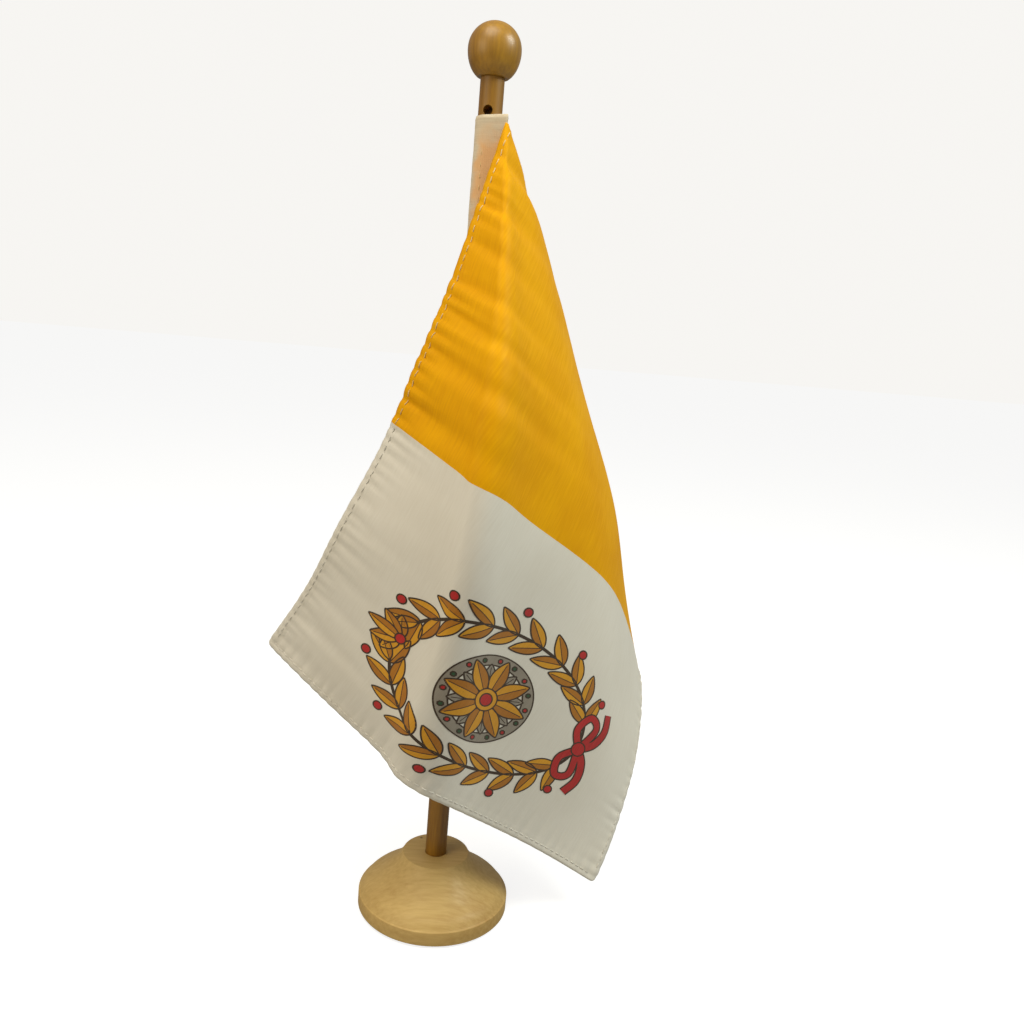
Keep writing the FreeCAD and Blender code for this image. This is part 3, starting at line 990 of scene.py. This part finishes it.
    def build(self, inks: list[Material]) -> Piece:
        """Make the print on both faces of the cloth.

        Args:
            inks: the inks' materials, in the order of their numbers.

        Returns:
            The emblem, as one piece.
        """
        up = self.spray_radius[1]
        self.spray(1.0)
        self.spray(-1.0)
        self.rosette((0.0, 2.0 * MM))
        self.palmette((0.0, up - 1.0 * MM))
        self.bow((0.0, -up - 1.0 * MM))
        emblem = self.draft.build("printed_emblem", inks, solid=False)
        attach(emblem, "flag")
        LOG.info("emblem printed with %d faces", len(self.draft.faces))
        return emblem


def add_stitch(draft: MeshDraft, line: list[np.ndarray], radius: float, slot: int, sides: int = 6) -> None:
    """Add one stitch, a round thread whose ends dive into the cloth.

    Args:
        draft: the mesh that it goes into.
        line: points along the thread.
        radius: the thread's radius.
        slot: its material slot.
        sides: points round the thread.
    """
    rows = []
    for i, point in enumerate(line):
        ahead = line[min(i + 1, len(line) - 1)] - line[max(i - 1, 0)]
        ahead = ahead / np.linalg.norm(ahead)
        across = np.cross(ahead, (0.0, 0.31, 0.95))
        across /= np.linalg.norm(across)
        above = np.cross(ahead, across)
        size = radius * (0.55 if i in (0, len(line) - 1) else 1.0)
        ring = []
        for k in range(sides):
            angle = TURN * k / sides
            spot = point + (across * math.cos(angle) + above * math.sin(angle)) * size
            ring.append(draft.add_point(spot, (float(i) * MM, float(k) * MM)))
        rows.append(ring)
    draft.add_net(rows, closed=True, slot=slot)
    draft.add_face(tuple(rows[0][::-1]), slot)
    draft.add_face(tuple(rows[-1]), slot)


@dataclass
class HemStitching:
    """Stitches of one hem, seen on both faces of the cloth."""

    flag: HangingFlag
    pitch: float = 4.0 * MM
    length: float = 2.7 * MM
    radius: float = 0.23 * MM
    inset: float = 3.2 * MM
    wander: float = 0.25 * MM

    def build(self, edge: str, gold_thread: Material, white_thread: Material) -> Piece:
        """Make the stitches along one edge.

        Args:
            edge: top, bottom or fly.
            gold_thread: thread that shows on the gold.
            white_thread: thread that shows on the white.

        Returns:
            The stitches, as one piece.
        """
        side = self.flag.shape.side
        draft = MeshDraft()
        count = int((side - 2.0 * self.flag.hem) / self.pitch)
        for i in range(count):
            start = self.flag.hem + i * self.pitch + self.wander * ripple(i * 0.9, 20.0)
            for face in (1.0, -1.0):
                line = []
                for share in (0.0, 0.12, 0.5, 0.88, 1.0):
                    run = start + self.length * share
                    spot = {"top": (run, self.inset), "bottom": (run, side - self.inset),
                            "fly": (side - self.inset, run)}[edge]
                    place, normal, depth = self.flag.sample(*spot)
                    sunk = -0.6 if share in (0.0, 1.0) else 0.75
                    line.append(place + normal * face * (depth / 2.0 + self.radius * sunk))
                slot = 0 if edge != "fly" and start < side / 2.0 else 1
                add_stitch(draft, line, self.radius, slot)
        piece = draft.build(edge + "_hem_threads", [gold_thread, white_thread])
        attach(piece, "flag")
        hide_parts(edge + "_hem_stitching")
        return piece


# ---- the sleeve ----------------------------------------------------------------------------------
@dataclass
class HoistSleeve:
    """White tape sleeve round the pole, sewn shut over the flag's edge."""

    shape: ClothShape
    inner: float = 5.3 * MM
    tape: float = 0.6 * MM
    tip_radius: float = 0.7 * MM
    top_fold: float = 3.6 * MM
    step: float = 1.6 * MM
    spots: int = 96
    spot_step: float = 0.4 * MM
    slow_swell: float = 0.16 * MM
    quick_swell: float = 0.10 * MM
    fold_swell: float = 0.10 * MM
    fold_groove: float = 0.22 * MM
    groove_width: float = 0.7 * MM
    lip: float = 0.25 * MM
    lip_height: float = 0.1 * MM
    dip: float = 0.5 * MM
    dip_turn: float = 0.8
    dip_reach: float = 6.0 * MM
    inner_top: float = 0.9 * MM
    inner_bottom: float = 0.3 * MM
    seam_turn: float = 246.0
    stitch_pitch: float = 4.6 * MM
    stitch_length: float = 2.4 * MM
    stitch_radius: float = 0.20 * MM
    stitch_depth: float = 0.35 * MM
    stitch_rise: float = 0.02 * MM

    def outline(self, radius: float, tip_radius: float) -> list[np.ndarray]:
        """Outline seen from above, round the pole and out to the flag's edge, with even steps."""
        tip = np.array(self.shape.seam[:2])
        reach = float(np.linalg.norm(tip))
        lean = math.atan2(tip[1], tip[0])
        spread = math.acos((radius - tip_radius) / reach)
        rough = [np.array([math.cos(a), math.sin(a)]) * radius
                 for a in np.linspace(lean + spread, lean + TURN - spread, 80)]
        rough += [tip + np.array([math.cos(a), math.sin(a)]) * tip_radius
                  for a in np.linspace(lean - spread, lean + spread, 24)]
        rough.append(rough[0])
        line = np.array(rough)
        run = np.concatenate([[0.0], np.cumsum(np.linalg.norm(np.diff(line, axis=0), axis=1))])
        places = np.linspace(0.0, run[-1], self.spots, endpoint=False)
        return [np.array([np.interp(p, run, line[:, 0]), np.interp(p, run, line[:, 1])]) for p in places]

    def outer_row(self, draft: MeshDraft, outline: list[np.ndarray], height: float, bottom: float,
                  top: float) -> list[int]:
        """Add the points round the outside at one height.

        Args:
            draft: the mesh that they go into.
            outline: the plain outline, seen from above.
            height: the row's height.
            bottom: height of the sleeve's lower end.
            top: height of its upper end.

        Returns:
            The points' numbers.
        """
        below = top - height
        row = []
        for k, spot in enumerate(outline):
            angle = TURN * k / self.spots
            swell = self.slow_swell * noise.noise(Vector((math.cos(angle), math.sin(angle), height * 90.0)))
            swell += self.quick_swell * noise.noise(Vector((k * 0.11, 3.0, height * 340.0)))
            swell -= self.fold_groove * math.exp(-((below - self.top_fold) / self.groove_width) ** 2)
            if below < self.top_fold:
                swell += self.fold_swell
            if below < self.lip_height or height - bottom < self.lip_height:
                swell -= self.lip
            place = spot + spot / np.linalg.norm(spot) * swell
            drop = self.dip * (math.cos(angle + self.dip_turn) - 1.0) * math.exp(-below / self.dip_reach)
            row.append(draft.add_point((place[0], place[1], height + drop), (k * self.spot_step, height)))
        return row

    def inner_row(self, draft: MeshDraft, height: float) -> list[int]:
        """Add the points round the inside at one height, and return their numbers."""
        start = self.start_angle()
        angles = [TURN * k / self.spots + start for k in range(self.spots)]
        return [draft.add_point((math.cos(a) * self.inner, math.sin(a) * self.inner, height),
                                (k * self.spot_step, height)) for k, a in enumerate(angles)]

    def start_angle(self) -> float:
        """Angle about the pole at which the outline starts."""
        tip = np.array(self.shape.seam[:2])
        radius = self.inner + self.tape
        spread = math.acos((radius - self.tip_radius) / float(np.linalg.norm(tip)))
        return math.atan2(tip[1], tip[0]) + spread

    def build(self, tape: Material, thread: Material) -> tuple[Piece, Piece]:
        """Make the sleeve and its line of stitches.

        Args:
            tape: the tape.
            thread: the stitches.

        Returns:
            The sleeve and the stitches.
        """
        low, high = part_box("hoist_sleeve")
        bottom, top = low[2], high[2]
        outline = self.outline(self.inner + self.tape, self.tip_radius)
        draft = MeshDraft()
        count = round((top - bottom) / self.step)
        rows = [self.outer_row(draft, outline, top - (top - bottom) * i / count, bottom, top)
                for i in range(count + 1)]
        draft.add_net([row[::-1] for row in rows], closed=True)
        inner_rows = [self.inner_row(draft, height)
                      for height in (top - self.inner_top, top - self.dip_reach, bottom + self.dip_reach,
                                     bottom + self.inner_bottom)]
        draft.add_net(inner_rows, closed=True)
        draft.add_net([inner_rows[0], rows[0]][::-1], closed=True)
        draft.add_net([rows[-1], inner_rows[-1]][::-1], closed=True)
        sleeve = draft.build("tape_sleeve", [tape])
        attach(sleeve, "flag")
        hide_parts("hoist_sleeve")
        return sleeve, self.build_stitches(thread)

    def build_stitches(self, thread: Material) -> Piece:
        """Make the line of stitches down the front of the sleeve."""
        low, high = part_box("sleeve_stitching")
        turn = math.radians(self.seam_turn)
        away = np.array([math.cos(turn), math.sin(turn), 0.0])
        x, y = away[:2] * (self.inner + self.tape)
        bottom, top = low[2], high[2]
        draft = MeshDraft()
        for i in range(int((top - bottom) / self.stitch_pitch)):
            height = top - i * self.stitch_pitch
            line = []
            for share in (0.0, 0.15, 0.5, 0.85, 1.0):
                rise = -self.stitch_depth if share in (0.0, 1.0) else self.stitch_rise
                line.append(np.array([x, y, height - self.stitch_length * share]) + away * rise)
            add_stitch(draft, line, self.stitch_radius, 0)
        piece = draft.build("sleeve_threads", [thread])
        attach(piece, "flag")
        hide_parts("sleeve_stitching")
        return piece


# ---- the studio ----------------------------------------------------------------------------------
@dataclass(frozen=True)
class SoftLight:
    """Soft square light that faces a point."""

    name: str
    place: tuple[float, float, float]
    aim: tuple[float, float, float]
    size: float
    power: float
    colour: Colour

    def add(self) -> None:
        """Add the light to the scene."""
        data = bpy.data.lights.new(self.name, "AREA")
        data.size = self.size
        data.energy = self.power
        data.color = self.colour
        light = bpy.data.objects.new(self.name, data)
        light.location = self.place
        light.rotation_euler = (Vector(self.aim) - Vector(self.place)).to_track_quat("-Z", "Y").to_euler()
        bpy.context.scene.collection.objects.link(light)


@dataclass
class Studio:
    """Pale floor, soft lights and the camera.

    The floor and the room look brighter to the camera than the light that they give.
    """

    camera_place: tuple[float, float, float] = (0.9 * MM, -420.6 * MM, 279.6 * MM)
    pitch: float = 11.3
    yaw: float = 2.98
    roll: float = 4.83
    lens: float = 33.8
    sensor: float = 36.0
    floor_glow: float = 0.80
    room_strength: float = 0.34
    backdrop_strength: float = 0.93
    floor_reach: float = 6.0
    floor_colour: Colour = (0.38, 0.38, 0.37)
    room_colour: Colour = (1.0, 0.985, 0.955)
    lights: tuple[SoftLight, ...] = (
        SoftLight("ceiling", (-0.20, -0.35, 1.10), (0.0, 0.0, 0.15), 0.60, 5.6, (1.0, 0.95, 0.85)),
        SoftLight("window", (0.74, -0.20, 0.88), (0.03, 0.0, 0.20), 0.36, 6.2, (0.95, 1.0, 0.95)),
        SoftLight("room", (-0.80, -0.60, 0.55), (0.0, 0.0, 0.16), 0.60, 3.0, (1.0, 0.84, 0.60)))

    def build(self) -> None:
        """Make the floor, the lights, the room and the camera."""
        self.add_floor()
        for light in self.lights:
            light.add()
        self.add_room()
        self.add_camera()

    def add_floor(self) -> None:
        """Add the floor that the foot stands on."""
        mesh = bpy.data.meshes.new("floor")
        far = self.floor_reach
        mesh.from_pydata([(-far, -far, 0), (far, -far, 0), (far, far, 0), (-far, far, 0)], [], [(0, 1, 2, 3)])
        floor = bpy.data.objects.new("floor", mesh)
        material, tree, shader = new_material("pale_floor")
        shader.inputs["Base Color"].default_value = (*self.floor_colour, 1.0)
        shader.inputs["Roughness"].default_value = 0.9
        shader.inputs["Specular IOR Level"].default_value = 0.0
        shader.inputs["Emission Color"].default_value = (1.0, 1.0, 1.0, 1.0)
        seen = tree.add("LightPath").outputs["Is Camera Ray"]
        tree.link(tree.maths("MULTIPLY", seen, self.floor_glow), shader.inputs["Emission Strength"])
        mesh.materials.append(material)
        bpy.context.scene.collection.objects.link(floor)

    def add_room(self) -> None:
        """Add the even light of the room."""
        world = bpy.data.worlds.new("room_light")
        world.use_nodes = True
        background = world.node_tree.nodes["Background"]
        background.inputs["Color"].default_value = (*self.room_colour, 1.0)
        tree = Tree(world.node_tree)
        seen = tree.add("LightPath").outputs["Is Camera Ray"]
        strength = tree.span(seen, 0.0, 1.0, self.room_strength, self.backdrop_strength)
        tree.link(strength, background.inputs["Strength"])
        bpy.context.scene.world = world
        bpy.context.scene.view_settings.view_transform = "Standard"

    def add_camera(self) -> None:
        """Add the camera, looking slightly down at the stand and a little tilted."""
        pitch, yaw, roll = (math.radians(a) for a in (self.pitch, self.yaw, self.roll))
        view = Vector((math.sin(yaw) * math.cos(pitch), math.cos(yaw) * math.cos(pitch), -math.sin(pitch)))
        level = Vector((math.cos(yaw), -math.sin(yaw), 0.0))
        upright = level.cross(view)
        right = level * math.cos(roll) + upright * math.sin(roll)
        up = upright * math.cos(roll) - level * math.sin(roll)
        data = bpy.data.cameras.new("camera")
        data.lens = self.lens
        data.sensor_width = self.sensor
        data.clip_start = 0.01
        camera = bpy.data.objects.new("camera", data)
        turn = Matrix((right, up, -view)).transposed().to_4x4()
        camera.matrix_world = Matrix.Translation(self.camera_place) @ turn
        bpy.context.scene.collection.objects.link(camera)
        bpy.context.scene.camera = camera


def main() -> None:
    """Build and dress every piece in order."""
    logging.basicConfig(level=logging.INFO, format="%(message)s")
    grain = build_wood_grain()
    weave = build_woven_threads()
    Studio().build()
    TurnedFoot().build(FOOT_WOOD.material(grain), FELT.material(weave))
    dress_node("pole", POLE_WOOD.material(grain))
    dress_node("ball_finial", BALL_WOOD.material(grain))
    shape = ClothShape()
    flag = HangingFlag(shape)
    cloth = flag.build(GOLD.material(weave), WHITE.material(weave))
    emblem = PrintedEmblem(flag).build([INKS[ink].material(weave) for ink in Ink])
    pale_thread = PALE_THREAD.material(weave)
    white_thread = WHITE_THREAD.material(weave)
    threads = [HemStitching(flag).build(edge, pale_thread, white_thread) for edge in ("top", "bottom", "fly")]
    sleeve, sleeve_threads = HoistSleeve(shape).build(TAPE.material(weave), pale_thread)
    LOG.info("size noted")


if __name__ == "__main__":
    main()
